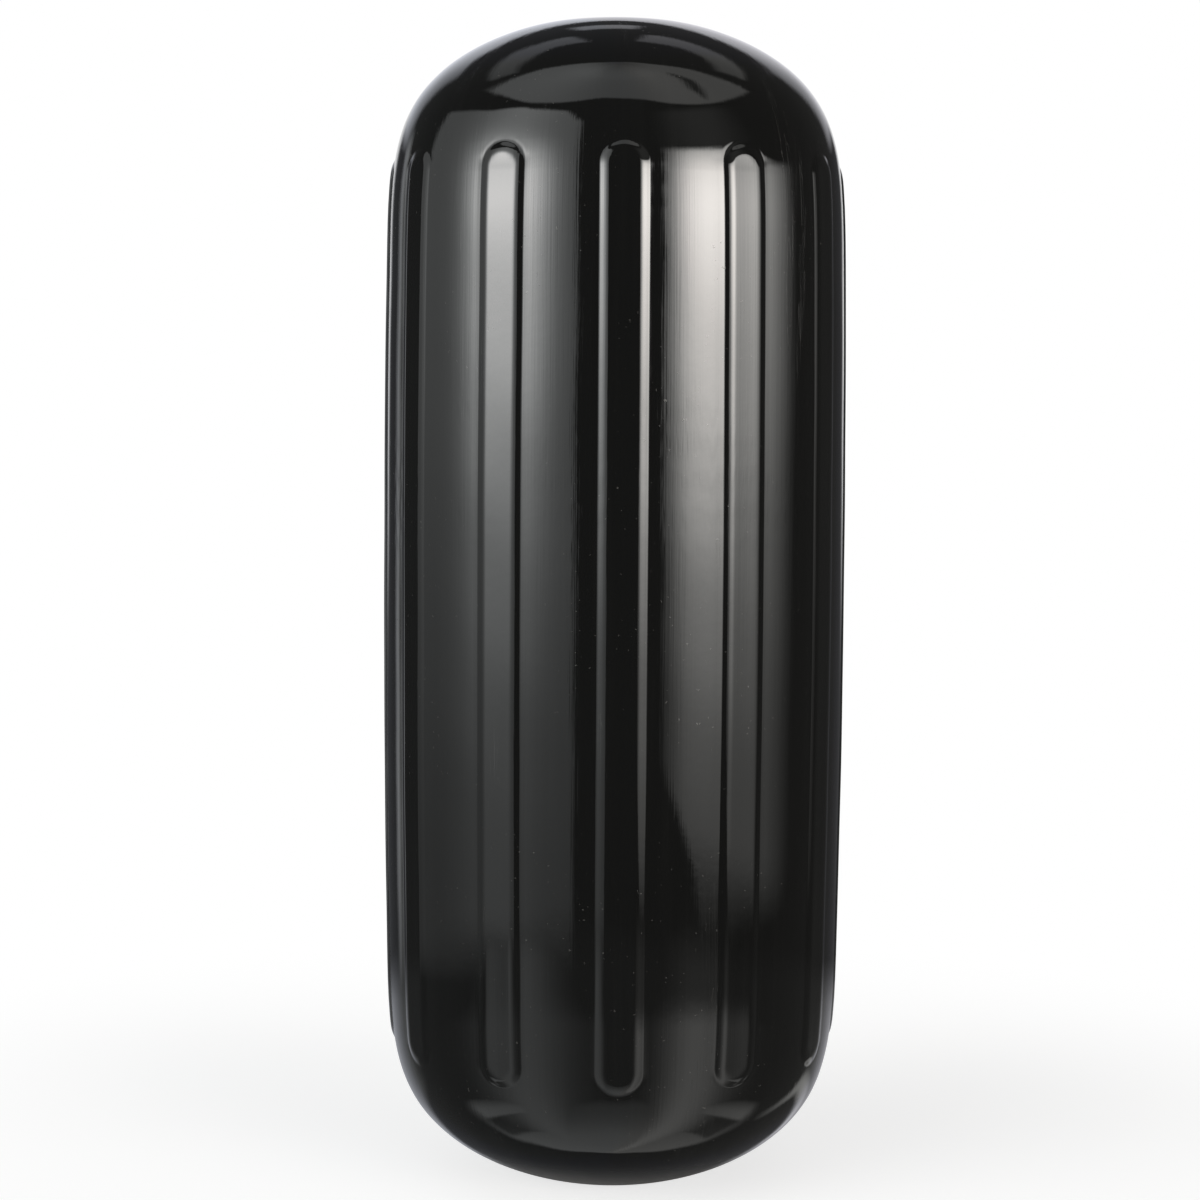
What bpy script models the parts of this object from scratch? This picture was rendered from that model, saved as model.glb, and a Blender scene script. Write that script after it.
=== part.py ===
"""Pneumatic boat fender of the centre-hole kind.

One moulded vinyl shell holds the air. It is a ribbed barrel with a rounded shoulder at each end, and
a rope tube runs through its middle from end to end. A needle valve sits in the upper shoulder.
Metres, +Z up. The origin is the centre of the lower end, which the fender stands on.
"""

import math

import bmesh
import bpy
from mathutils import Matrix, Vector

# Barrel and shoulders
LENGTH = 0.508
BODY_RADIUS = 0.1012  # at mid-height, between the ribs
BARREL_DROP = 0.0033  # how far the barrel's radius has fallen at the ends
SHOULDER_HEIGHT = 0.120
SHOULDER_POWER = 5.0  # higher keeps the barrel full for longer
SHOULDER_ROUNDNESS = 1.3  # lower makes the end flatter
WALL = 0.0028

# Ends and rope tube
LAND_RADIUS = 0.030  # outer edge of the flat ring that each end stands on
ROPE_HOLE_RADIUS = 0.011
MOUTH_FLARE = 0.012  # how far the mouth opens outwards from the rope hole
MOUTH_DEPTH = 0.017
TUBE_WALL = 0.004

# Ribs, sizes along the skin
RIB_COUNT = 12
RIB_FOOT_WIDTH = 0.0200
RIB_FLANK_RUN = 0.0046  # from the foot to the flat top, across the rib
RIB_TIP_RUN = 0.0050  # the same at the rib's two tips
RIB_HEIGHT = 0.0011
RIB_END_INSET = 0.058  # from the fender's end to the rib's tip
RIB_SINK = 0.0010  # how deep the rib's block reaches into the skin it is moulded with

# Needle valve, sizes along its own axis, square to the skin
VALVE_PITCH_RADIUS = 0.051  # from the fender's axis
BOSS_RADIUS = 0.0125
BOSS_DEPTH = 0.0095
BOSS_COVER = 0.0018  # skin over the boss
FLANGE_RADIUS = 0.0090
FLANGE_THICKNESS = 0.0018
FLANGE_BEVEL = 0.0006
FLANGE_PROUD = 0.0005
SLEEVE_RADIUS = 0.0060
BARB_RADIUS = 0.0074
BARB_LENGTH = 0.0035
CORE_HEAD_RADIUS = 0.0048
CORE_HEAD_THICKNESS = 0.0010
CORE_STEM_RADIUS = 0.0028
CORE_BULB_RADIUS = 0.0044
CORE_BULB_LENGTH = 0.0030
NEEDLE_MOUTH_RADIUS = 0.0012
NEEDLE_MOUTH_DEPTH = 0.0014
FIT_GAP = 0.0003  # between pieces that sit in one another

# Facets
FACETS_PER_RIB = 4
HOLLOW_FACETS = 32
VALVE_FACETS = 24
SHOULDER_STEPS = 12
BARREL_STEPS = 4
HOLLOW_SHOULDER_STEPS = 8
HOLLOW_BARREL_STEPS = 2
MOUTH_STEPS = 5
RIB_END_STEPS = 5
RIB_SIDE_STEPS = 8
RIB_FLANK_STEPS = 2
MERGE = 1e-6
SHARP_ANGLE = math.radians(30)
SLOPE_STEP = 1e-5
HALVINGS = 40

MIDDLE = LENGTH / 2


def clear_scene():
    for old in list(bpy.data.objects):
        bpy.data.objects.remove(old)


def plastic(name, colour, roughness):
    """A Principled material for vinyl, nylon or rubber."""
    material = bpy.data.materials.new(name)
    material.use_nodes = True
    shader = material.node_tree.nodes["Principled BSDF"]
    shader.inputs["Base Color"].default_value = (*colour, 1)
    shader.inputs["Roughness"].default_value = roughness
    shader.inputs["Metallic"].default_value = 0
    return material


def piece(name, shape, material=None):
    """Turns a bmesh into an object, with its faces pointing out and its round faces smooth."""
    bmesh.ops.remove_doubles(shape, verts=shape.verts, dist=MERGE)
    bmesh.ops.recalc_face_normals(shape, faces=shape.faces)
    mesh = bpy.data.meshes.new(name)
    shape.to_mesh(mesh)
    shape.free()
    mesh.shade_smooth()
    mesh.set_sharp_from_angle(angle=SHARP_ANGLE)
    if material:
        mesh.materials.append(material)
    made = bpy.data.objects.new(name, mesh)
    bpy.context.scene.collection.objects.link(made)
    return made


def helper(made):
    """Marks an object as a tool that shapes another one."""
    made.hide_render = True
    made.display_type = "WIRE"
    return made


def turned(outline, facets):
    """A closed outline of (radius, height) points spun once about the Z axis, as a bmesh.

    The outline starts half a facet off the X axis, so each axis meets the middle of a facet.
    """
    shape = bmesh.new()
    across, along = math.cos(math.pi / facets), math.sin(math.pi / facets)
    points = [shape.verts.new((radius * across, radius * along, z)) for radius, z in outline]
    for start, end in zip(points, points[1:] + points[:1]):
        shape.edges.new((start, end))
    bmesh.ops.spin(
        shape,
        geom=shape.verts[:] + shape.edges[:],
        axis=(0, 0, 1),
        cent=(0, 0, 0),
        angle=math.tau,
        steps=facets,
        use_merge=True,
    )
    return shape


def combine(target, tool, operation):
    modifier = target.modifiers.new(tool.name, "BOOLEAN")
    modifier.object = tool
    modifier.operation = operation
    modifier.solver = "EXACT"


def skin_radius(z):
    """Outer radius between the ribs: a shallow parabola that a superellipse closes towards each land."""
    from_middle = abs(z - MIDDLE)
    barrel = BODY_RADIUS - BARREL_DROP * (from_middle / MIDDLE) ** 2
    into_shoulder = (from_middle - (MIDDLE - SHOULDER_HEIGHT)) / SHOULDER_HEIGHT
    share = min(max(into_shoulder, 0.0), 1.0)
    fullness = (1 - share**SHOULDER_POWER) ** (1 / SHOULDER_ROUNDNESS)
    return LAND_RADIUS + (barrel - LAND_RADIUS) * fullness


def skin_normal(z):
    """(radial, axial) parts of the skin's outward normal at height z."""
    slope = (skin_radius(z + SLOPE_STEP) - skin_radius(z - SLOPE_STEP)) / (2 * SLOPE_STEP)
    size = math.hypot(1, slope)
    return 1 / size, -slope / size


def skin_point(angle, z, lift):
    """The point at a turn and height on the skin, raised square to it by lift."""
    radial, axial = skin_normal(z)
    radius = skin_radius(z) + lift * radial
    return Vector((radius * math.cos(angle), radius * math.sin(angle), z + lift * axial))


def height_at_radius(radius):
    """Height on the upper shoulder where the skin has this radius, found by halving."""
    low, high = LENGTH - SHOULDER_HEIGHT, LENGTH
    for _ in range(HALVINGS):
        half = (low + high) / 2
        if skin_radius(half) > radius:
            low = half
        else:
            high = half
    return low


def skin_outline(shoulder_steps, barrel_steps):
    """(radius, height) points of the skin from the upper land's edge down to the lower one's."""
    shoulder_foot = LENGTH - SHOULDER_HEIGHT
    turns = [math.pi / 2 * step / shoulder_steps for step in range(shoulder_steps, 0, -1)]
    upper = [shoulder_foot + SHOULDER_HEIGHT * math.sin(turn) for turn in turns]
    upper += [shoulder_foot + (MIDDLE - shoulder_foot) * step / barrel_steps for step in range(barrel_steps)]
    heights = upper + [MIDDLE] + [LENGTH - z for z in reversed(upper)]
    return [(skin_radius(z), z) for z in heights]


def bore_outline(wall):
    """Outline of the rope tube from the lower land to the upper one, moved out by a wall into the vinyl.

    Each mouth is a quarter of an ellipse.
    """
    flare, depth = MOUTH_FLARE - wall, MOUTH_DEPTH - wall
    turns = [math.pi / 2 * step / MOUTH_STEPS for step in range(MOUTH_STEPS + 1)]
    rim = ROPE_HOLE_RADIUS + MOUTH_FLARE
    upper = [(rim - flare * math.cos(t), LENGTH - MOUTH_DEPTH + depth * math.sin(t)) for t in turns]
    return [(radius, LENGTH - z) for radius, z in reversed(upper)] + upper


def inset(points, distance):
    """Moves each point of an open outline inwards, square to the line through its two neighbours."""
    moved = []
    for index, (radius, z) in enumerate(points):
        before = points[max(index - 1, 0)]
        after = points[min(index + 1, len(points) - 1)]
        across, down = after[0] - before[0], after[1] - before[1]
        size = math.hypot(across, down)
        moved.append((radius + distance * down / size, z - distance * across / size))
    return moved


def rib_outline(half_width, half_length):
    """(half-width, height above the middle) stations of a slot shape with round ends, lower tip first."""
    centre = half_length - half_width
    turns = [math.pi / 2 * step / RIB_END_STEPS for step in range(RIB_END_STEPS)]
    lower = [(half_width * math.sin(t), -centre - half_width * math.cos(t)) for t in turns]
    sides = [(half_width, centre * (2 * step / RIB_SIDE_STEPS - 1)) for step in range(RIB_SIDE_STEPS + 1)]
    upper = [(width, -z) for width, z in reversed(lower)]
    return lower + sides + upper


def add_rib(shape, angle):
    """One rib: a flat top whose flanks fall away as a quarter of a sine wave.

    Each flank's lowest slope runs on down, so that the block reaches a little way into the skin.
    """
    half_length = MIDDLE - RIB_END_INSET
    shares = [step / RIB_FLANK_STEPS for step in range(RIB_FLANK_STEPS + 1)]
    flank = [(share, RIB_HEIGHT * math.sin(math.pi / 2 * share)) for share in shares]
    flank[0] = (-RIB_SINK * flank[1][0] / flank[1][1], -RIB_SINK)
    left, centre, right = -1, 0, 1
    across = [(share, lift, left) for share, lift in flank] + [(1, RIB_HEIGHT, centre)]
    across += [(share, lift, right) for share, lift in reversed(flank)]
    rails = []
    for share, lift, side in across:
        outline = rib_outline(RIB_FOOT_WIDTH / 2 - share * RIB_FLANK_RUN, half_length - share * RIB_TIP_RUN)
        rail = []
        for half_width, z in outline:
            turn = side * half_width / skin_radius(MIDDLE + z)
            rail.append(shape.verts.new(skin_point(angle + turn, MIDDLE + z, lift)))
        rails.append(rail)
    for rail, following in zip(rails, rails[1:] + rails[:1]):
        for step in range(len(rail) - 1):
            shape.faces.new((rail[step], following[step], following[step + 1], rail[step + 1]))


def make_shell(vinyl, seat):
    """The moulded body with its ribs, hollow inside, and the boss and hole for the valve."""
    outline = skin_outline(SHOULDER_STEPS, BARREL_STEPS) + bore_outline(0)
    shell = piece("fender_shell", turned(outline, RIB_COUNT * FACETS_PER_RIB), vinyl)

    ribs = bmesh.new()
    for index in range(RIB_COUNT):
        add_rib(ribs, math.tau * index / RIB_COUNT - math.pi / 2)
    combine(shell, helper(piece("rib_blocks", ribs)), "UNION")

    hollow = inset(skin_outline(HOLLOW_SHOULDER_STEPS, HOLLOW_BARREL_STEPS), WALL) + bore_outline(TUBE_WALL)
    combine(shell, helper(piece("air_space", turned(hollow, HOLLOW_FACETS))), "DIFFERENCE")

    boss = [(0, -BOSS_DEPTH), (BOSS_RADIUS, -BOSS_DEPTH), (BOSS_RADIUS, -BOSS_COVER), (0, -BOSS_COVER)]
    pad = helper(piece("valve_boss", turned(boss, VALVE_FACETS)))
    pad.parent = seat
    combine(shell, pad, "UNION")

    hole_radius = SLEEVE_RADIUS + FIT_GAP
    recess_radius = FLANGE_RADIUS + FIT_GAP
    recess_floor = FLANGE_PROUD - FLANGE_THICKNESS - FIT_GAP
    above, below = BOSS_DEPTH, -2 * BOSS_DEPTH
    hole = [(0, below), (hole_radius, below), (hole_radius, recess_floor), (recess_radius, recess_floor)]
    hole += [(recess_radius, above), (0, above)]
    cutter = helper(piece("valve_hole", turned(hole, VALVE_FACETS)))
    cutter.parent = seat
    combine(shell, cutter, "DIFFERENCE")
    return shell


def make_valve_body(nylon, seat):
    """Flanged nylon barrel, with a barb below the boss that holds it in and a port for the rubber core."""
    port_radius = CORE_STEM_RADIUS + FIT_GAP
    head_radius = CORE_HEAD_RADIUS + FIT_GAP
    head_floor = FLANGE_PROUD - CORE_HEAD_THICKNESS - FIT_GAP
    barb_top = -BOSS_DEPTH - FIT_GAP
    barb_tip = barb_top - BARB_LENGTH
    outline = [
        (port_radius, barb_tip),
        (SLEEVE_RADIUS, barb_tip),
        (BARB_RADIUS, barb_top),
        (SLEEVE_RADIUS, barb_top),
        (SLEEVE_RADIUS, FLANGE_PROUD - FLANGE_THICKNESS),
        (FLANGE_RADIUS, FLANGE_PROUD - FLANGE_THICKNESS),
        (FLANGE_RADIUS, FLANGE_PROUD - FLANGE_BEVEL),
        (FLANGE_RADIUS - FLANGE_BEVEL, FLANGE_PROUD),
        (head_radius, FLANGE_PROUD),
        (head_radius, head_floor),
        (port_radius, head_floor),
    ]
    body = piece("valve_body", turned(outline, VALVE_FACETS), nylon)
    body.parent = seat
    return body


def make_valve_core(rubber, seat):
    """Soft core that closes on itself: a head with a needle mouth, a stem, and a bulb under the body."""
    bulb_top = -BOSS_DEPTH - BARB_LENGTH - 2 * FIT_GAP
    bulb_tip = bulb_top - CORE_BULB_LENGTH
    outline = [
        (0, bulb_tip),
        (CORE_STEM_RADIUS, bulb_tip),
        (CORE_BULB_RADIUS, bulb_top),
        (CORE_STEM_RADIUS, bulb_top),
        (CORE_STEM_RADIUS, FLANGE_PROUD - CORE_HEAD_THICKNESS),
        (CORE_HEAD_RADIUS, FLANGE_PROUD - CORE_HEAD_THICKNESS),
        (CORE_HEAD_RADIUS, FLANGE_PROUD),
        (NEEDLE_MOUTH_RADIUS, FLANGE_PROUD),
        (0, FLANGE_PROUD - NEEDLE_MOUTH_DEPTH),
    ]
    core = piece("valve_core", turned(outline, VALVE_FACETS), rubber)
    core.parent = seat
    return core


def valve_seat():
    """An empty on the upper shoulder at the back, with its Z axis square to the skin."""
    z = height_at_radius(VALVE_PITCH_RADIUS)
    radial, axial = skin_normal(z)
    seat = bpy.data.objects.new("valve_seat", None)
    tilt = Matrix.Rotation(-math.atan2(radial, axial), 4, "X")
    seat.matrix_world = Matrix.Translation((0, VALVE_PITCH_RADIUS, z)) @ tilt
    bpy.context.scene.collection.objects.link(seat)
    return seat


clear_scene()
seat = valve_seat()
make_shell(plastic("black_vinyl", (0.012, 0.012, 0.013), 0.12), seat)
make_valve_body(plastic("black_nylon", (0.020, 0.020, 0.021), 0.35), seat)
make_valve_core(plastic("black_rubber", (0.028, 0.027, 0.027), 0.65), seat)
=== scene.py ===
"""Black ribbed boat fender of the centre-hole kind, standing on end in a plain white studio.

Every surface here is worked out with numpy as a function of two parameters on a grid. Metres, +Z up.
"""

import math

import bmesh
import bpy
import numpy as np
from mathutils import Matrix, Vector


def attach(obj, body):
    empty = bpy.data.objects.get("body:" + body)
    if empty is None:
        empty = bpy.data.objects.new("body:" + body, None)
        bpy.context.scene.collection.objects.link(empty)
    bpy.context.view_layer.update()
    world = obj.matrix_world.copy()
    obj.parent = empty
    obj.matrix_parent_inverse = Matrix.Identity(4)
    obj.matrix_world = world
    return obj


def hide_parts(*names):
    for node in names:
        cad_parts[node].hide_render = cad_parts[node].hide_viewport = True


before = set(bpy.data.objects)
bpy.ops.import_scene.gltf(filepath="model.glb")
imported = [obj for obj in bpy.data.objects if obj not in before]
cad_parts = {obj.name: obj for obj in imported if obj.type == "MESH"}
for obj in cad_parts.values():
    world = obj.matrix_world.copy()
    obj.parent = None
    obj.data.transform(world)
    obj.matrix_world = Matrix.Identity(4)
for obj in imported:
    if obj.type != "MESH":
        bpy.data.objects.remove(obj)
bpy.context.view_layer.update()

# Barrel and shoulders
LENGTH = 0.508
MIDDLE = LENGTH / 2
BODY_RADIUS = 0.1012  # at mid-height, between the ribs
BARREL_DROP = 0.0033
SHOULDER_HEIGHT = 0.120
SHOULDER_POWER = 5.0
SHOULDER_ROUNDNESS = 1.3
LAND_RADIUS = 0.030
LAND_EDGE = 0.0012  # how far the land's edge is rounded

# Rope tube
HOLE_RADIUS = 0.011
MOUTH_FLARE = 0.012
MOUTH_DEPTH = 0.017

# Ribs
RIB_COUNT = 12
RIB_HALF_WIDTH = 0.0100
RIB_RUN = 0.0046  # from the foot to the crest
RIB_HEIGHT = 0.0011
RIB_DISH = 0.00022  # how far the rib's top is hollowed between its crests
RIB_FILLET = 0.00035
RIB_GROOVE = 0.00005  # depth of the faint groove along the foot line
SIDE_RIB_SHARE = 0.62  # height of the ribs beside the mould's parting line, as a share of the others
RIB_END_INSET = 0.058

# Moulding swell of the skin: (size, waves round the axis, radians per metre along it, phase)
SWELLS = ((0.00004, 2, 40, 0.0), (0.00003, 5, -63, 1.3), (0.00002, 9, 110, 0.6))
DOME_RIPPLE = 0.00005
RIPPLE_START = 0.185  # height from the middle at which the domes' ripple sets in
RIPPLE_FADE = 0.04
LAND_FADE = 0.03  # height over which the swell dies out towards each land
SKIN_DROP = 0.00008  # keeps the swell's crests inside the solid

# Needle valve: radii about its own axis, and heights along it from the skin
VALVE_PITCH_RADIUS = 0.051
FIT_GAP = 0.0003
FLANGE_RADIUS = 0.0090
FLANGE_PROUD = 0.0005
FLANGE_BACK = -0.0013
RING_RADII = (0.0066, 0.0064, 0.0060, 0.0058)  # the fine ring sunk into the flange's face
RING_DEPTH = 0.0002
SLEEVE_RADIUS = 0.0060
SLEEVE_END = -0.0133
BARB_RADIUS = 0.0074
BARB_STEP = -0.0098
PORT_RADIUS = 0.0031
PORT_STEP = -0.0008
RECESS_RADIUS = 0.0093
RECESS_FLOOR = -0.0016
HOLE_DEPTH = -0.0090
PLUG_TOP = 0.010
CORE_RADIUS = 0.0048
CORE_STEP = -0.0005
STEM_RADIUS = 0.0028
BULB_RADIUS = 0.0044
BULB_STEP = -0.0139
CORE_END = -0.0169
DIMPLE_RADII = (0.0020, 0.0012, 0.0006)  # where the needle goes in
DIMPLE_DEPTH = 0.0003
DIMPLE_FLOOR = -0.0009
EDGE_ROUNDING = 0.0005
SOFT_ROUNDING = 0.0004  # on the rubber core


# ---------------------------------------------------------------- helpers


def grid_object(name, points, material, wrap_rows=True, caps=(False, False)):
    """A quad mesh from an array of points [row, column, xyz], closed round its columns.

    With wrap_rows the last row joins the first. A cap closes the first or last row with a fan to its centre.
    """
    rows, columns, _ = points.shape
    index = np.arange(rows * columns).reshape(rows, columns)
    following = np.roll(index, -1, axis=1)
    if wrap_rows:
        upper, upper_next = np.roll(index, -1, axis=0), np.roll(following, -1, axis=0)
        quads = np.stack([index, following, upper_next, upper], axis=-1).reshape(-1, 4)
    else:
        quads = np.stack([index[:-1], following[:-1], following[1:], index[1:]], axis=-1).reshape(-1, 4)
    vertices = points.reshape(-1, 3)
    fans = []
    for capped, row, flip in ((caps[0], 0, True), (caps[1], rows - 1, False)):
        if capped:
            centre = len(vertices)
            vertices = np.vstack([vertices, points[row].mean(axis=0)])
            fan = np.stack([index[row], following[row], np.full(columns, centre)], axis=-1)
            fans.append(fan[:, ::-1] if flip else fan)
    triangles = np.vstack(fans) if fans else np.zeros((0, 3), int)

    mesh = bpy.data.meshes.new(name)
    corners = np.concatenate([quads.ravel(), triangles.ravel()]).astype(np.int32)
    sizes = np.concatenate([np.full(len(quads), 4), np.full(len(triangles), 3)])
    starts = np.concatenate([[0], np.cumsum(sizes)[:-1]]).astype(np.int32)
    mesh.vertices.add(len(vertices))
    mesh.loops.add(len(corners))
    mesh.polygons.add(len(sizes))
    mesh.vertices.foreach_set("co", vertices.astype(np.float32).ravel())
    mesh.loops.foreach_set("vertex_index", corners)
    mesh.polygons.foreach_set("loop_start", starts)
    mesh.update(calc_edges=True)
    mesh.validate()
    mesh.shade_smooth()
    mesh.materials.append(material)
    made = bpy.data.objects.new(name, mesh)
    bpy.context.scene.collection.objects.link(made)
    return made


def smooth_step(x):
    """0 below 0, 1 above 1, and an even S between."""
    t = np.clip(x, 0, 1)
    return t * t * (3 - 2 * t)


def revolve_at(outline, turns):
    """Points [row, column, xyz] of an outline of (radius, height) at the given turns."""
    radius, height = outline[:, :1], outline[:, 1:]
    return np.stack(
        [radius * np.cos(turns), radius * np.sin(turns), np.broadcast_to(height, (len(outline), len(turns)))],
        axis=-1,
    )


def revolve(outline, facets, seat=None):
    """Points [row, column, xyz] of an outline of (radius, height) turned about Z, then carried to a seat."""
    points = revolve_at(np.asarray(outline, float), np.linspace(0, math.tau, facets, endpoint=False))
    if seat is not None:
        matrix = np.array(seat)
        points = points @ matrix[:3, :3].T + matrix[:3, 3]
    return points


# ---------------------------------------------------------------- the shell's shape


def skin_radius(z):
    """Outer radius between the ribs: a shallow parabola that a superellipse closes towards each land."""
    from_middle = np.abs(z - MIDDLE)
    barrel = BODY_RADIUS - BARREL_DROP * (from_middle / MIDDLE) ** 2
    share = np.clip((from_middle - (MIDDLE - SHOULDER_HEIGHT)) / SHOULDER_HEIGHT, 0, 1)
    return LAND_RADIUS + (barrel - LAND_RADIUS) * (1 - share**SHOULDER_POWER) ** (1 / SHOULDER_ROUNDNESS)


def skin_normal(z):
    """(radial, axial) parts of the skin's outward normal at height z."""
    step = 1e-6
    slope = (skin_radius(z + step) - skin_radius(z - step)) / (2 * step)
    size = np.hypot(1, slope)
    return 1 / size, -slope / size


def rib_lift(across, z):
    """How far the skin is raised at a distance across from the rib's centre line and a height z.

    The rib is a slot shape with round ends. From its foot line the lift climbs as a quarter of a sine wave over the
    run, after a small fillet, and between the crests the top is hollowed by a shallow parabola. A faint groove, a bell
    curve across, follows the foot line outside.
    """
    half_length = MIDDLE - RIB_END_INSET
    centre = half_length - RIB_HALF_WIDTH
    past_end = np.maximum(np.abs(z - MIDDLE) - centre, 0)
    inside = RIB_HALF_WIDTH - np.hypot(across, past_end)
    eased = (inside + np.sqrt(inside**2 + RIB_FILLET**2)) / 2
    share = np.clip(eased / RIB_RUN, 0, 1)
    lift = RIB_HEIGHT * np.sin(math.pi / 2 * share)
    top_half = RIB_HALF_WIDTH - RIB_RUN
    to_crest = np.clip((inside - RIB_RUN) / top_half, 0, 1)
    dish = RIB_DISH * (1 - (1 - to_crest) ** 2) * smooth_step((inside - RIB_RUN * 0.8) / 0.002)
    groove = RIB_GROOVE * np.exp(-(((inside + 0.0007) / 0.0007) ** 2))
    return np.where(inside > -8 * RIB_FILLET, lift - dish - groove, 0)


def shell_columns():
    """Turn of each column, close together over the ribs' flanks and wider apart on their tops and between them."""
    period = math.tau / RIB_COUNT
    reach = BODY_RADIUS * period / 2
    flank_start = RIB_HALF_WIDTH - RIB_RUN - 0.0004
    foot_start, foot_end = RIB_HALF_WIDTH - 0.0008, RIB_HALF_WIDTH + 0.0006
    half = np.concatenate(
        [
            np.linspace(0, flank_start, 3, endpoint=False),
            np.linspace(flank_start, foot_start, 6, endpoint=False),
            np.linspace(foot_start, foot_end, 6, endpoint=False),
            foot_end + (reach - foot_end) * np.linspace(0, 1, 5) ** 1.4,
        ]
    )
    across = np.concatenate([-half[:0:-1], half])[:-1]
    turns = [across / BODY_RADIUS + period * rib - math.pi / 2 for rib in range(RIB_COUNT)]
    return np.concatenate(turns)


def shell_heights():
    """Height of each row of the outer skin from the lower land to the upper one, close together at the rib tips."""
    tip = RIB_END_INSET
    shoulder = SHOULDER_HEIGHT * (1 - np.sin(np.linspace(math.pi / 2, 0, 64)))
    shoulder = shoulder[shoulder < tip - 0.0012]
    near_tip = np.linspace(tip - 0.0010, tip + 0.0112, 24)
    barrel = np.linspace(tip + 0.0120, MIDDLE, 24)
    lower = np.concatenate([shoulder, near_tip, barrel])
    return np.concatenate([lower, LENGTH - lower[-2::-1]])


def mouth_outline():
    """(radius, height) points from the upper land's edge in over the mouth and down the bore to the lower land.

    The mouth is a quarter of an ellipse that turns the land into the bore.
    """
    rim = HOLE_RADIUS + MOUTH_FLARE
    t = np.linspace(math.pi / 2, 0, 10)
    land = np.linspace(LAND_RADIUS - LAND_EDGE, rim, 3, endpoint=False)
    upper = np.concatenate(
        [
            np.stack([land, np.full(3, LENGTH)], axis=1),
            np.stack([rim - MOUTH_FLARE * np.cos(t), LENGTH - MOUTH_DEPTH * (1 - np.sin(t))], axis=1),
        ]
    )
    bore = np.linspace(LENGTH - MOUTH_DEPTH, MOUTH_DEPTH, 9)[1:-1]
    middle = np.stack([np.full(len(bore), HOLE_RADIUS), bore], axis=1)
    lower = upper[::-1] * [1, -1] + [0, LENGTH]
    return np.concatenate([upper, middle, lower])


def shell_points():
    """The whole skin as a closed grid: height along the profile by turn round the axis.

    Outside, a point is the superellipse profile at its height, raised square to the skin by the rib's lift and by a
    slow moulding swell, a sum of sine waves of a few hundredths of a millimetre. Inside, it is the turned mouth and
    bore.
    """
    turns, heights = shell_columns(), shell_heights()
    z, turn = np.meshgrid(heights, turns, indexing="ij")
    radius = skin_radius(z)
    radial, axial = skin_normal(np.clip(z, 2e-4, LENGTH - 2e-4))
    period = math.tau / RIB_COUNT
    from_rib = (turn + math.pi / 2 + period / 2) % period - period / 2
    side = np.abs(np.abs(np.cos(turn - from_rib)) - math.cos(math.radians(30))) < 0.1
    lift = rib_lift(from_rib * radius, z) * np.where(side, SIDE_RIB_SHARE, 1)
    swell = sum(size * np.sin(about * turn + along * z + phase) for size, about, along, phase in SWELLS)
    dome = smooth_step((np.abs(z - MIDDLE) - RIPPLE_START) / RIPPLE_FADE)
    x_way, y_way = radius * np.cos(turn), radius * np.sin(turn)
    ripple = np.sin(170 * x_way + 60 * y_way + 0.4) * np.sin(150 * y_way - 45 * x_way + 90 * z)
    swell += DOME_RIPPLE * dome * (ripple + 0.5 * np.sin(310 * x_way - 120 * y_way + 200 * z))
    fade = smooth_step(np.minimum(z, LENGTH - z) / LAND_FADE)
    lift = lift + (swell - SKIN_DROP) * fade
    outer = np.stack(
        [
            (radius + lift * radial) * np.cos(turn),
            (radius + lift * radial) * np.sin(turn),
            z + lift * axial,
        ],
        axis=-1,
    )
    inner = revolve_at(mouth_outline(), turns)
    return np.concatenate([outer, inner])


def valve_seat():
    """Matrix of the valve's place on the upper shoulder at the back, with its Z axis square to the skin."""
    low, high = LENGTH - SHOULDER_HEIGHT, LENGTH
    for _ in range(50):
        half = (low + high) / 2
        if skin_radius(half) > VALVE_PITCH_RADIUS:
            low = half
        else:
            high = half
    radial, axial = skin_normal(np.float64(low))
    tilt = Matrix.Rotation(-math.atan2(radial, axial), 4, "X")
    return Matrix.Translation((0, VALVE_PITCH_RADIUS, low)) @ tilt


# ---------------------------------------------------------------- node helpers


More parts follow.
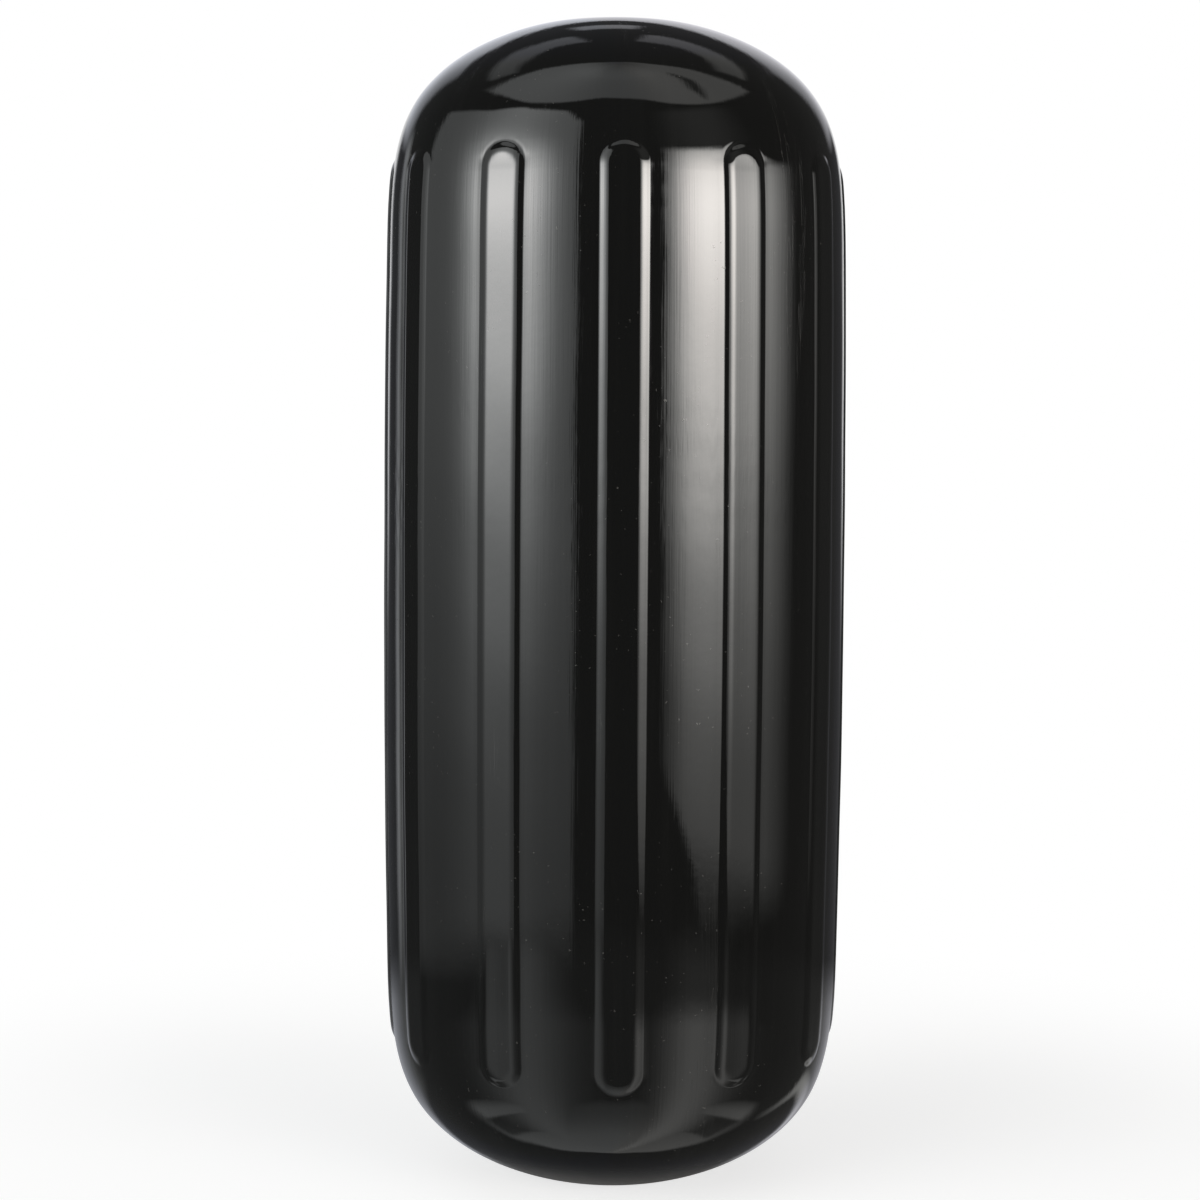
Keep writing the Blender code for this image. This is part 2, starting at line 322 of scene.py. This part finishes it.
class Formula:
    """A value in a shader's node tree. Arithmetic on it adds Math nodes."""

    def __init__(self, tree, socket):
        self.tree, self.socket = tree, socket

    def _node(self, operation, *values):
        node = self.tree.nodes.new("ShaderNodeMath")
        node.operation = operation
        for slot, value in zip(node.inputs, values):
            if isinstance(value, Formula):
                self.tree.links.new(value.socket, slot)
            else:
                slot.default_value = value
        return Formula(self.tree, node.outputs[0])

    def __add__(self, other):
        return self._node("ADD", self, other)

    def __radd__(self, other):
        return self._node("ADD", other, self)

    def __sub__(self, other):
        return self._node("SUBTRACT", self, other)

    def __rsub__(self, other):
        return self._node("SUBTRACT", other, self)

    def __mul__(self, other):
        return self._node("MULTIPLY", self, other)

    def __truediv__(self, other):
        return self._node("DIVIDE", self, other)

    def __pow__(self, other):
        return self._node("POWER", self, other)

    def abs(self):
        return self._node("ABSOLUTE", self)

    def exp(self):
        return self._node("EXPONENT", self)

    def sine(self):
        return self._node("SINE", self)

    def sqrt(self):
        return self._node("SQRT", self)

    def arcsine(self):
        return self._node("ARCSINE", self)

    def angle(self, other):
        """Angle of the point with this value across and the other one ahead."""
        return self._node("ARCTAN2", self, other)

    def at_most(self, other):
        return self._node("MINIMUM", self, other)

    def at_least(self, other):
        return self._node("MAXIMUM", self, other)

    def step(self, start, end):
        """0 at start and 1 at end, and an even S between. End may be the smaller one."""
        if end < start:
            return 1.0 - self.step(end, start)
        node = self.tree.nodes.new("ShaderNodeMapRange")
        node.interpolation_type = "SMOOTHSTEP"
        self.tree.links.new(self.socket, node.inputs["Value"])
        node.inputs["From Min"].default_value = start
        node.inputs["From Max"].default_value = end
        return Formula(self.tree, node.outputs["Result"])

    def between(self, start, end, soft_start, soft_end):
        """1 between start and end, falling to 0 over the soft widths centred on them."""
        rise = self.step(start - soft_start / 2, start + soft_start / 2)
        return rise * self.step(end + soft_end / 2, end - soft_end / 2)

    def bell(self, centre, below, above):
        """A Gaussian about the centre, with its own spread on each side."""
        away = self - centre
        share = away.at_least(0.0) / above + away.at_most(0.0) / below
        return (share * share * -0.5).exp()


def new_node(tree, kind, **settings):
    """A node whose settings are either properties or input values."""
    node = tree.nodes.new(kind)
    for name, value in settings.items():
        if name in node.inputs.keys():
            node.inputs[name].default_value = value
        else:
            setattr(node, name, value)
    return node


def noise(tree, vector, scale, detail=2.0, roughness=0.5, distortion=0.0):
    """Noise between 0 and 1 over a vector."""
    node = new_node(
        tree, "ShaderNodeTexNoise", Scale=scale, Detail=detail, Roughness=roughness, Distortion=distortion
    )
    tree.links.new(vector, node.inputs["Vector"])
    return Formula(tree, node.outputs["Fac"])


def combine(tree, x, y, z):
    """A vector's socket from three formulas or numbers."""
    node = tree.nodes.new("ShaderNodeCombineXYZ")
    for slot, value in zip(node.inputs, (x, y, z)):
        if isinstance(value, Formula):
            tree.links.new(value.socket, slot)
        else:
            slot.default_value = value
    return node.outputs[0]


def object_axes(tree):
    """X, Y and Z of the Object coordinates as formulas, and the vector's own socket."""
    coordinates = tree.nodes.new("ShaderNodeTexCoord")
    split = tree.nodes.new("ShaderNodeSeparateXYZ")
    tree.links.new(coordinates.outputs["Object"], split.inputs[0])
    return [Formula(tree, out) for out in split.outputs], coordinates.outputs["Object"]


def blank_material(name):
    """A material, its node tree and its Principled shader."""
    material = bpy.data.materials.new(name)
    material.use_nodes = True
    tree = material.node_tree
    return material, tree, tree.nodes["Principled BSDF"]


def add_bump(tree, shader, height):
    """Bump from a height in millimetres."""
    bump = new_node(tree, "ShaderNodeBump", Strength=1.0, Distance=0.001)
    tree.links.new(height.socket, bump.inputs["Height"])
    tree.links.new(bump.outputs["Normal"], shader.inputs["Normal"])


def light_path(tree):
    """The kinds of ray as formulas, by name."""
    node = tree.nodes.new("ShaderNodeLightPath")
    kinds = ("Is Camera Ray", "Is Glossy Ray", "Is Transmission Ray")
    return {kind: Formula(tree, node.outputs[kind]) for kind in kinds}


def seen_directly(path):
    """1 for what the camera sees, straight or through something clear."""
    return path["Is Camera Ray"].at_least(path["Is Transmission Ray"])


def mix_shaders(tree, factor, first, second):
    """Output of a shader that goes from the first output to the second by a factor."""
    node = tree.nodes.new("ShaderNodeMixShader")
    for slot, value in zip(node.inputs, (factor.socket, first, second)):
        tree.links.new(value, slot)
    return node.outputs[0]


def mix_colour(tree, factor, first, second):
    """Colour between two colours, or colour sockets, by a factor."""
    node = new_node(tree, "ShaderNodeMix", data_type="RGBA")
    tree.links.new(factor.socket, node.inputs[0])
    for slot, value in ((node.inputs[6], first), (node.inputs[7], second)):
        if isinstance(value, bpy.types.NodeSocket):
            tree.links.new(value, slot)
        else:
            slot.default_value = (*value, 1)
    return node.outputs[2]


# ---------------------------------------------------------------- materials


def along_the_skin(tree):
    """Formulas for the turn's cosine and sine and the way along the skin, and the Object vector's socket.

    The way along the skin is the height from the middle plus how far the radius has drawn in, with the same sign.
    """
    (x, y, z), vector = object_axes(tree)
    radius = (x * x + y * y).sqrt().at_least(0.001)
    height = z - MIDDLE
    sign = height / height.abs().at_least(0.0001)
    way = height + sign * (BODY_RADIUS - radius)
    return x / radius, y / radius, way, vector


def gloss_vinyl():
    """Black moulded vinyl: high gloss, with faint wipe marks along its length, dust and fine scratches.

    The noise of the wipe marks is drawn out along the skin. A scratch is the thin line where a noise passes one half,
    and shows only in patches. Faint moulding waves cross the upper half of the barrel.
    """
    material, tree, shader = blank_material("fender_vinyl")
    cosine, sine, way, vector = along_the_skin(tree)

    wipes = noise(tree, combine(tree, cosine * 9.0, sine * 9.0, way * 2.2), 3.2, 5.0, 0.62)
    fine_wipes = noise(tree, combine(tree, cosine * 60.0, sine * 60.0, way * 5.0), 2.4, 3.0, 0.6)
    clouds = noise(tree, vector, 14.0, 3.0, 0.55)
    specks = noise(tree, vector, 650.0, 1.0, 0.5)

    haze = wipes.step(0.46, 0.78) * 0.6 + fine_wipes.step(0.5, 0.8) * 0.4
    dust = specks.step(0.74, 0.79) * clouds.step(0.42, 0.60)

    scratch_field = noise(tree, combine(tree, cosine * 3.1, sine * 3.1, way * 3.0), 2.0, 2.0, 0.5, 0.4)
    scratch_line = noise(tree, combine(tree, cosine * 46.0, sine * 46.0, way * 14.0), 1.7, 0.0)
    scratches = (scratch_line - 0.5).abs().step(0.006, 0.0) * scratch_field.step(0.60, 0.68)

    colour = mix_colour(tree, haze * 0.55, (0.0045, 0.0045, 0.0043), (0.0078, 0.0078, 0.0074))
    colour = mix_colour(tree, (dust * 0.40 + scratches * 0.25).at_most(1.0), colour, (0.11, 0.106, 0.098))
    tree.links.new(colour, shader.inputs["Base Color"])

    roughness = 0.028 + haze * 0.034 + (clouds - 0.5) * 0.015 + dust * 0.2 + scratches * 0.15
    tree.links.new(roughness.socket, shader.inputs["Roughness"])
    shader.inputs["IOR"].default_value = 1.5
    shader.inputs["Specular IOR Level"].default_value = 0.5

    orange = noise(tree, vector, 230.0, 2.0, 0.5)
    waves = (way * 435.0 + wipes * 12.0).sine() * clouds.step(0.40, 0.60) * way.between(0.02, 0.10, 0.04, 0.05)
    height = (orange - 0.5) * 0.006 + (fine_wipes - 0.5) * 0.016 + (wipes - 0.5) * 0.020
    add_bump(tree, shader, height - scratches * 0.010 + dust * 0.004 + waves * 0.0040)
    return material


def moulded_nylon():
    """Black nylon with a fine even grain."""
    material, tree, shader = blank_material("valve_nylon")
    _, vector = object_axes(tree)
    grain = noise(tree, vector, 1400.0, 3.0, 0.6)
    wear = noise(tree, vector, 260.0, 3.0, 0.55)
    colour = mix_colour(tree, wear.step(0.35, 0.75), (0.016, 0.016, 0.017), (0.027, 0.027, 0.027))
    tree.links.new(colour, shader.inputs["Base Color"])
    roughness = 0.30 + grain * 0.10 + wear * 0.08
    tree.links.new(roughness.socket, shader.inputs["Roughness"])
    add_bump(tree, shader, grain * 0.02)
    return material


def soft_rubber():
    """Matt black rubber with a dusty bloom."""
    material, tree, shader = blank_material("valve_rubber")
    _, vector = object_axes(tree)
    bloom = noise(tree, vector, 420.0, 4.0, 0.6)
    grain = noise(tree, vector, 2200.0, 2.0, 0.5)
    colour = mix_colour(tree, bloom.step(0.4, 0.8), (0.020, 0.020, 0.020), (0.044, 0.043, 0.041))
    tree.links.new(colour, shader.inputs["Base Color"])
    roughness = 0.58 + bloom * 0.2
    tree.links.new(roughness.socket, shader.inputs["Roughness"])
    add_bump(tree, shader, grain * 0.04)
    return material


# ---------------------------------------------------------------- the fender's pieces

vinyl = gloss_vinyl()
seat = valve_seat()

shell = grid_object("shell_skin", shell_points(), vinyl)

# The valve's recess and hole: a stepped plug turned about the valve's axis is cut out of the skin.
plug_outline = [
    (SLEEVE_RADIUS + FIT_GAP, HOLE_DEPTH),
    (SLEEVE_RADIUS + FIT_GAP, RECESS_FLOOR),
    (RECESS_RADIUS, RECESS_FLOOR),
    (RECESS_RADIUS, PLUG_TOP),
]
plug = grid_object("recess_plug", revolve(plug_outline, 96, seat), vinyl, wrap_rows=False, caps=(True, True))
cut = shell.modifiers.new("recess", "BOOLEAN")
cut.object = plug
cut.operation = "DIFFERENCE"
cut.solver = "EXACT"
graph = bpy.context.evaluated_depsgraph_get()
cut_mesh = bpy.data.meshes.new_from_object(shell.evaluated_get(graph))
shell.modifiers.clear()
shell.data = cut_mesh
cut_mesh.name = "shell_skin"
welder = bmesh.new()
welder.from_mesh(cut_mesh)
bmesh.ops.remove_doubles(welder, verts=welder.verts, dist=5e-6)
bmesh.ops.dissolve_degenerate(welder, edges=welder.edges, dist=1e-6)
welder.to_mesh(cut_mesh)
welder.free()
cut_mesh.shade_smooth()
cut_mesh.set_sharp_from_angle(angle=math.radians(50))
bpy.data.objects.remove(plug)


def rounded(corners, radius, steps=4):
    """An outline of corners (radius, height, rounded), where each marked one becomes a small quadratic curve.

    The curve starts and ends at the radius from the corner, or at under half of the shorter side, and the corner pulls
    its middle.
    """
    points = []
    for i, (r, z, rounds) in enumerate(corners):
        here = np.array([r, z])
        if not rounds:
            points.append(here)
            continue
        before = np.array(corners[i - 1][:2]) - here
        after = np.array(corners[(i + 1) % len(corners)][:2]) - here
        reach = min(radius, np.linalg.norm(before) * 0.45, np.linalg.norm(after) * 0.45)
        start = here + before / np.linalg.norm(before) * reach
        end = here + after / np.linalg.norm(after) * reach
        for t in np.linspace(0, 1, steps + 1):
            points.append((1 - t) ** 2 * start + 2 * t * (1 - t) * here + t**2 * end)
    return np.array(points)


# Valve body: a round flange with softened edges, over a barrel with a barb, and a port for the core.
head_room = CORE_RADIUS + FIT_GAP
body_outline = rounded(
    [
        (PORT_RADIUS, SLEEVE_END, False),
        (SLEEVE_RADIUS, SLEEVE_END, True),
        (BARB_RADIUS, BARB_STEP, True),
        (SLEEVE_RADIUS, BARB_STEP, False),
        (SLEEVE_RADIUS, FLANGE_BACK, False),
        (FLANGE_RADIUS, FLANGE_BACK, True),
        (FLANGE_RADIUS, FLANGE_PROUD, True),
        (RING_RADII[0], FLANGE_PROUD, True),
        (RING_RADII[1], FLANGE_PROUD - RING_DEPTH, True),
        (RING_RADII[2], FLANGE_PROUD - RING_DEPTH, True),
        (RING_RADII[3], FLANGE_PROUD, True),
        (head_room, FLANGE_PROUD, True),
        (head_room, PORT_STEP, False),
        (PORT_RADIUS, PORT_STEP, True),
    ],
    EDGE_ROUNDING,
)
valve_body = grid_object("valve_flange", revolve(body_outline, 96, seat), moulded_nylon())
valve_body.data.set_sharp_from_angle(angle=math.radians(40))

# Core: a soft head with a dimpled needle mouth, a stem and a bulb below the body.
core_outline = rounded(
    [
        (DIMPLE_RADII[2], CORE_END, False),
        (STEM_RADIUS, CORE_END, True),
        (BULB_RADIUS, BULB_STEP, True),
        (STEM_RADIUS, BULB_STEP, False),
        (STEM_RADIUS, CORE_STEP, False),
        (CORE_RADIUS, CORE_STEP, False),
        (CORE_RADIUS, FLANGE_PROUD, True),
        (DIMPLE_RADII[0], FLANGE_PROUD, True),
        (DIMPLE_RADII[1], FLANGE_PROUD - DIMPLE_DEPTH, True),
        (DIMPLE_RADII[2], DIMPLE_FLOOR, False),
    ],
    SOFT_ROUNDING,
)
core = grid_object(
    "valve_needle_core", revolve(core_outline, 72, seat), soft_rubber(), wrap_rows=False, caps=(True, True)
)
core.data.set_sharp_from_angle(angle=math.radians(40))

for piece, node, slot in (
    (shell, "fender_shell", "black_vinyl"),
    (valve_body, "valve_body", "black_nylon"),
    (core, "valve_core", "black_rubber"),
):
    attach(piece, "root")
    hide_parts(node)


# ---------------------------------------------------------------- floor

TABLE_RADIUS = 0.60
FLOOR_GREY = 0.52
FLOOR_GLOW = 0.69  # of its own white, for what sees it directly
BACKDROP_RING = (0.22, 0.50)  # where the floor turns into the backdrop
GLOSS_RING = (0.045, 0.075)  # where the floor ends in a gloss


def floor_material():
    """Matt white that keeps the fender's shadow.

    Towards its rim it turns into the backdrop's white for what sees it directly. In a gloss only its middle shows, and
    farther out the studio's own floor, which is part of the world.
    """
    material, tree, shader = blank_material("white_floor")
    (x, y, _), _ = object_axes(tree)
    distance = (x * x + y * y).sqrt()
    path = light_path(tree)
    direct = seen_directly(path)
    shader.inputs["Base Color"].default_value = (FLOOR_GREY, FLOOR_GREY, FLOOR_GREY, 1)
    shader.inputs["Roughness"].default_value = 0.9
    shader.inputs["Specular IOR Level"].default_value = 0.0
    shader.inputs["Emission Color"].default_value = (1, 1, 1, 1)
    tree.links.new((direct * FLOOR_GLOW).socket, shader.inputs["Emission Strength"])

    backdrop = new_node(tree, "ShaderNodeEmission", Strength=1.0)
    clear = tree.nodes.new("ShaderNodeBsdfTransparent")
    shown = mix_shaders(tree, distance.step(*BACKDROP_RING) * direct, shader.outputs[0], backdrop.outputs[0])
    shown = mix_shaders(tree, distance.step(*GLOSS_RING) * path["Is Glossy Ray"], shown, clear.outputs[0])
    tree.links.new(shown, tree.nodes["Material Output"].inputs["Surface"])
    return material


disc = revolve([(0.002, 0.0), (0.2, 0.0), (0.4, 0.0), (TABLE_RADIUS, 0.0)], 128)
floor = grid_object("floor", disc, floor_material(), wrap_rows=False, caps=(True, False))
floor.data.flip_normals()


# ---------------------------------------------------------------- light

LEFT_BOX_MIDDLE = -58.0  # azimuths of the soft boxes' hot centres
RIGHT_BOX_MIDDLE = 45.0
LEFT_BOX_HEAT = 11.5  # and their levels, where white is 1
RIGHT_BOX_HEAT = 14.5
ROOM_LEVEL = 0.065
GROUND_LEVEL = 0.10
MATT_SHARE = 0.67  # of the studio's light that matt surfaces get
BACKDROP_SHARE = 0.9  # of the backdrop's white that a gloss sees


def studio_world():
    """The studio as light by direction, with no distance: two soft boxes, a bright ceiling and white panels behind.

    Azimuth is measured from -Y towards +X and elevation from the horizon, both in degrees. What sees the world
    directly, or through something clear, sees plain white, and a gloss sees that white low behind the fender.
    """
    world = bpy.data.worlds.new("studio")
    world.use_nodes = True
    tree = world.node_tree
    tree.nodes.clear()
    coordinates = tree.nodes.new("ShaderNodeTexCoord")
    split = tree.nodes.new("ShaderNodeSeparateXYZ")
    tree.links.new(coordinates.outputs["Generated"], split.inputs[0])
    x, y, z = [Formula(tree, out) for out in split.outputs]
    degrees = 180 / math.pi
    az = x.angle(y * -1.0) * degrees
    el = z.at_most(0.99999).at_least(-0.99999).arcsine() * degrees

    # Left soft box: a wide panel that climbs to the right, with a hot centre.
    left_top = (43.0 + (az + 60.0) * 0.245).at_most(43.0) - az.step(-34, -20) * 7.0
    left_edge = az.between(-113, -21.6, 2.0, 1.0) * (left_top - el).step(-1.0, 1.5) * el.step(-15.5, -12.5)
    left_base = az.bell(LEFT_BOX_MIDDLE, 20.0, 19.0) * (1.35 + el.step(-10, -5) * 0.40)
    left_base = 0.60 + left_base + az.bell(-24.0, 8.0, 8.0) * 0.35
    left_base = left_base * (0.42 + el.step(-13, 6) * 0.58)
    left_away = (az - LEFT_BOX_MIDDLE).abs() / 21.0
    left_core = (left_away**3.0 * -1.0).exp() * el.bell(9.0, 5.8, 8.2) * LEFT_BOX_HEAT
    left = left_edge * (left_base + left_core)

    # Right soft box: lower, with a wavering left side, a hot centre and a long fade to the right.
    ragged = (noise(tree, combine(tree, az * 0.5, 0.0, 0.0), 1.0, 3.0, 0.6) - 0.5) * az.step(40, 20) * 7.0
    right_top = 21.0 - az.step(56, 94) * 7.0 + ragged
    wander = (noise(tree, combine(tree, el * 0.35, 7.0, 0.0), 1.0, 3.0, 0.6) - 0.5) * 5.0
    right_side = az + (el + 8.5).at_most(0.0) * 5.0 + wander
    right_edge = right_side.step(20.5, 24.0) * (0.30 + az.step(21.0, 36.0) * 0.70)
    right_edge = right_edge * (right_top - el).step(-1.5, 1.5) * el.step(-13.5, -10.5)
    right_core = az.step(100, 74) * 4.3 + az.bell(RIGHT_BOX_MIDDLE, 13.0, 11.5) * RIGHT_BOX_HEAT
    right = right_edge * (right_core * el.bell(8.5, 6.9, 8.8) + az.step(104, 70) * 0.70)
    right_glow = az.bell(RIGHT_BOX_MIDDLE, 16.0, 18.0) * el.between(21, 44, 6.0, 8.0) * 0.30

    # Ceiling, with its dark beams. It ends in a straight line a little behind the zenith.
    ceiling_rim = 46.0 + az.bell(0.0, 26.0, 22.0) * 9.0
    over = z.at_least(0.2)
    ahead = y * -1.0 / over + (x * -1.0).at_least(0.0) / over * 0.22 + x.at_least(0.0) / over * 0.12
    ceiling = (el - ceiling_rim).step(-1.2, 1.2) * ahead.step(-0.06, -0.03)
    ceiling_level = 0.70 + az.bell(-60.0, 34.0, 30.0) * 0.55 + az.bell(42.0, 22.0, 26.0) * 0.36
    ceiling_level = ceiling_level * el.step(98, 74) + el.step(70, 86) * 0.2
    beam = az.between(60, 77, 2.0, 2.0) * (el - 54.0 - (az - 60.0) * 0.9).abs().step(7.0, 4.0)
    side_beam = (az + 104.0 + (el - 52.0) * 0.3).abs().step(3.5, 1.5) * el.between(46, 74, 2.0, 3.0)
    ceiling = ceiling * ceiling_level * (1.0 - beam * 0.85) * (1.0 - side_beam * 0.7)

    # White panels and the backdrop behind, a pale band and patch over them, and a dim strip at the left.
    behind = az.abs()
    opposite = (behind * -1.0 + 180.0) / 9.0
    panel_top = 34.5 - (opposite * opposite * -0.5).exp() * 6.0
    panels = behind.step(141, 150) * (panel_top - el).step(-1.0, 1.0) * el.step(9.0, 13.0)
    panels = panels * (0.55 + behind.step(146, 165) * 0.45)
    back_low = behind.step(157, 166) * el.step(-7, 3) * el.step(13, 9)
    backdrop = panels + back_low
    back_band = behind.between(114, 171, 6.0, 3.0) * el.between(49, 59, 2.0, 2.0) * 0.45
    back_patch = behind.step(174, 176) * el.between(37, 43, 2.0, 2.0) * 0.55
    strip = (az + 141.0).abs().step(6.0, 0.0) * el.between(-13, 14, 8.0, 8.0) * 0.75

    # Below the table's edge: a dark line, then the lit studio floor, brighter again straight below and behind.
    left_pool = az.bell(-50.0, 16.0, 17.0)
    pools = 0.10 + az.bell(42.0, 11.0, 15.0) * 1.10 + left_pool * 0.70
    pools = pools * (1.0 - (el + 13.5).abs().step(4.5, 1.5) * (1.0 - left_pool) * 0.75)
    nadir = 0.36 + el.step(-40, -72) * 0.42
    arms = az.abs().between(55, 98, 8.0, 8.0)
    nadir = nadir * (1.0 - arms * el.between(-61, -47.5, 3.0, 3.0) * 0.65) * az.abs().step(112, 96)
    nadir = (nadir + arms * el.between(-47.5, -37.5, 2.0, 3.0) * 0.45) * el.step(-34, -44)
    streak_height = az.step(110, 135) * 16.0 - 42.0
    streak = (el - streak_height).abs().step(5.5, 0.5) * az.between(110, 168, 14.0, 12.0)
    streak = streak * (0.3 + az.step(112, 130) * 0.55)
    back_floor = behind.step(112, 160) * el.between(-30, -13, 8.0, 6.0) * 0.45
    ground = pools.at_least(nadir).at_least(streak).at_least(back_floor).at_least(GROUND_LEVEL)
    ground = ground * el.step(-11.5, -14.5)

    grey = left + right + right_glow + ceiling + backdrop + back_band + back_patch + strip
    grey = grey.at_least(ground).at_least(ROOM_LEVEL)

    # The left box is a little cool, the right one and the hot centres a little warm.
    hot = (grey / 14.0).at_most(1.0)
    warm = az.step(0, 30)
    red = grey * (0.965 + warm * 0.035 + hot * 0.045)
    blue = grey * (1.0 - warm * 0.03 - hot * 0.015 + behind.step(135, 150) * 0.09)
    colour = tree.nodes.new("ShaderNodeCombineColor")
    tree.links.new(red.socket, colour.inputs[0])
    tree.links.new(grey.socket, colour.inputs[1])
    tree.links.new(blue.socket, colour.inputs[2])

    # Matt surfaces get two thirds of it, the level at which a colour renders about as it is written.
    path = light_path(tree)
    glossy = path["Is Glossy Ray"]
    studio = new_node(tree, "ShaderNodeBackground", Strength=1.0)
    tree.links.new((glossy * (1 - MATT_SHARE) + MATT_SHARE).socket, studio.inputs["Strength"])
    tree.links.new(colour.outputs[0], studio.inputs["Color"])
    white = new_node(tree, "ShaderNodeBackground", Strength=1.0)
    white.inputs["Color"].default_value = (1, 1, 1, 1)
    seen = seen_directly(path).at_least(glossy * back_low * BACKDROP_SHARE)
    shown = mix_shaders(tree, seen, studio.outputs[0], white.outputs[0])
    output = tree.nodes.new("ShaderNodeOutputWorld")
    tree.links.new(shown, output.inputs["Surface"])
    bpy.context.scene.world = world
    world.cycles.sampling_method = "MANUAL"
    world.cycles.sample_map_resolution = 1024


studio_world()
bpy.context.scene.view_settings.view_transform = "Standard"


# ---------------------------------------------------------------- camera

CAMERA_DISTANCE = 1.1468
CAMERA_ELEVATION = math.radians(4.679)
CAMERA_AZIMUTH = math.radians(-1.85)
CAMERA_ROLL = math.radians(0.385)
PICTURE = 1200  # width and height in pixels, in which the next three are given
FOCAL_LENGTH = 2571.4
CENTRE_X, CENTRE_Y = 614.2, 605.15
SENSOR_WIDTH = 36

target = Vector((0, 0, MIDDLE))
away = Vector(
    (
        math.cos(CAMERA_ELEVATION) * math.sin(CAMERA_AZIMUTH),
        -math.cos(CAMERA_ELEVATION) * math.cos(CAMERA_AZIMUTH),
        math.sin(CAMERA_ELEVATION),
    )
)
camera_data = bpy.data.cameras.new("camera")
camera_data.sensor_width = SENSOR_WIDTH
camera_data.lens = FOCAL_LENGTH / PICTURE * SENSOR_WIDTH
camera_data.shift_x = (PICTURE / 2 - CENTRE_X) / PICTURE
camera_data.shift_y = (CENTRE_Y - PICTURE / 2) / PICTURE
camera = bpy.data.objects.new("camera", camera_data)
bpy.context.scene.collection.objects.link(camera)
turn = away.to_track_quat("Z", "Y").to_matrix().to_4x4()
camera.matrix_world = (
    Matrix.Translation(target + away * CAMERA_DISTANCE) @ turn @ Matrix.Rotation(CAMERA_ROLL, 4, "Z")
)
bpy.context.scene.camera = camera
